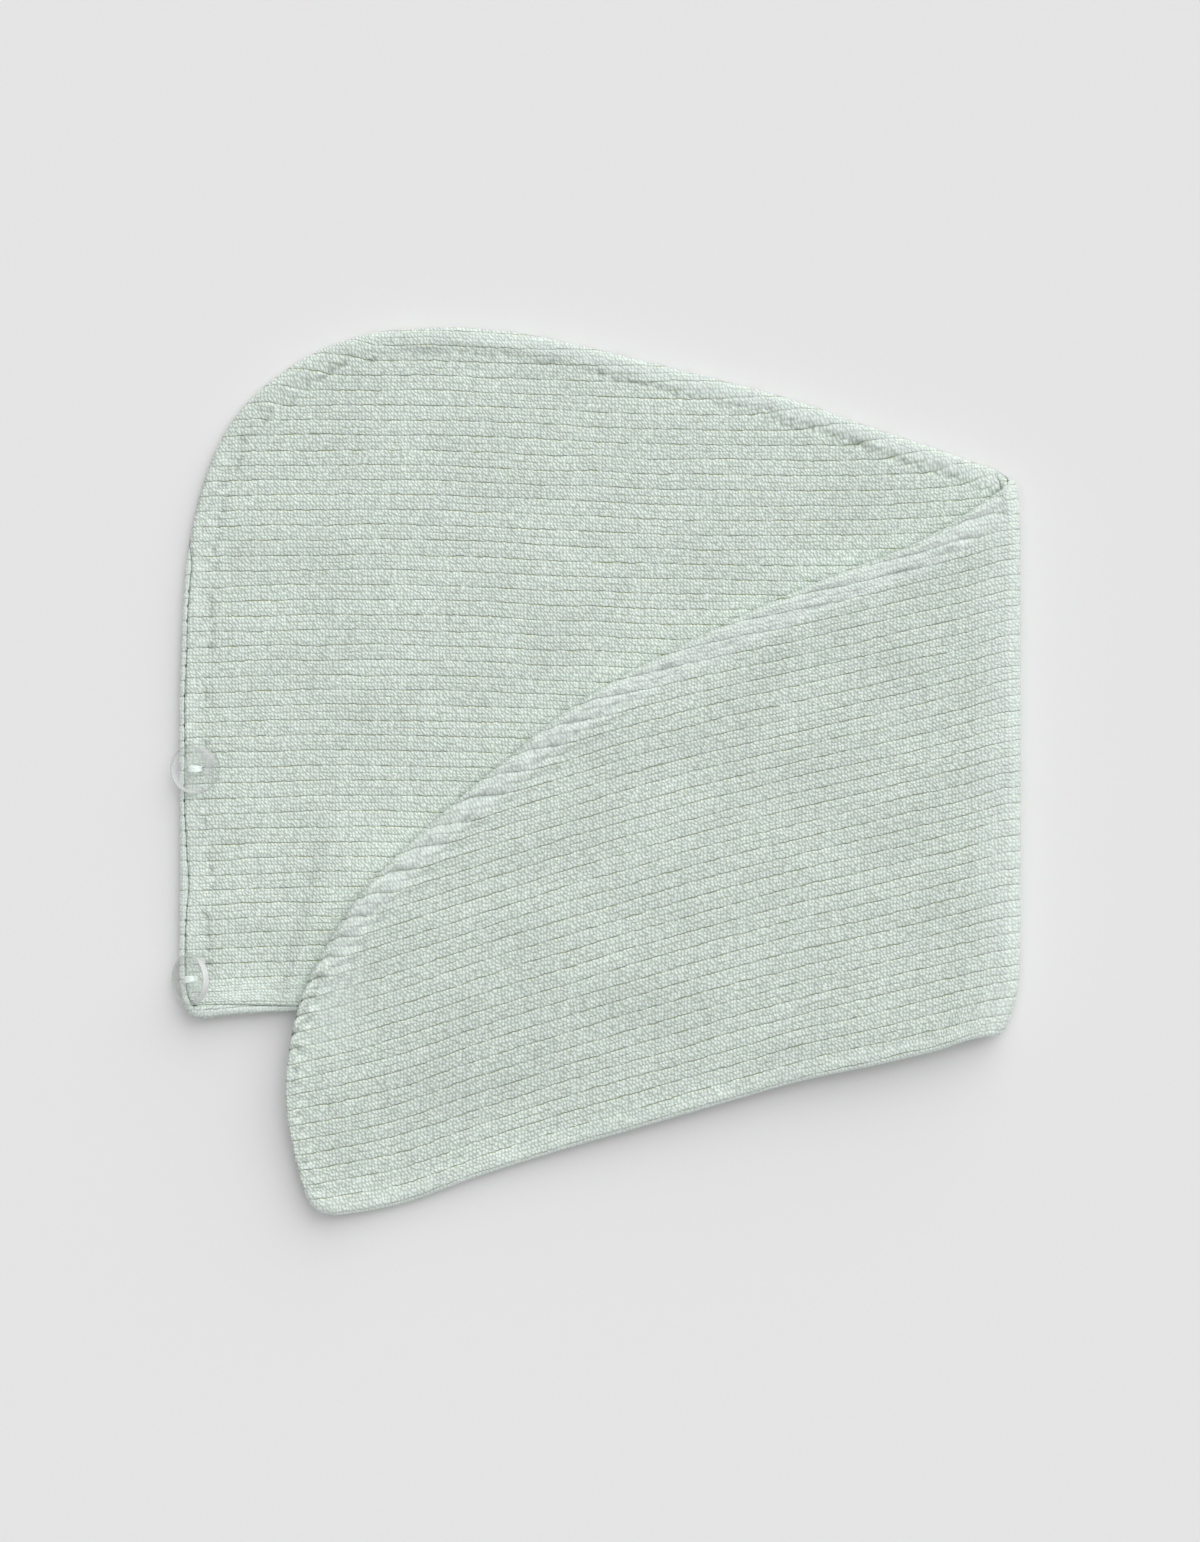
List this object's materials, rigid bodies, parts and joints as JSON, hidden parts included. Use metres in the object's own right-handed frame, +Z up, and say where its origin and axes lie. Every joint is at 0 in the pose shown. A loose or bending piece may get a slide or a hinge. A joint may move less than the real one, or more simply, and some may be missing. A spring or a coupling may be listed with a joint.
{
  "type": "hair towel",
  "caption": "Knitted towel turban lying folded flat: a wide ribbed hood with a long tapering tail folded back over it and clear buttons on its back seam.",
  "frame": {"origin": "middle of the folded towel's outline, on the surface that it lies on", "axes": "+X from the back seam with the buttons towards the fold, +Y from the mouth towards the crown, +Z up from the surface"},
  "size_m": [0.3399, 0.3561, 0.0183],
  "materials": {
    "towel_cloth": "soft looped rib knit, pale sage green",
    "clear_button": "clear moulded plastic, glossy",
    "sewing_thread": "pale twisted thread"
  },
  "bodies": {
    "root": {"right_side_panel": "towel_cloth", "left_side_panel": "towel_cloth", "upper_button": "clear_button", "upper_button_thread": "sewing_thread", "lower_button": "clear_button", "lower_button_thread": "sewing_thread"}
  },
  "joints": []
}
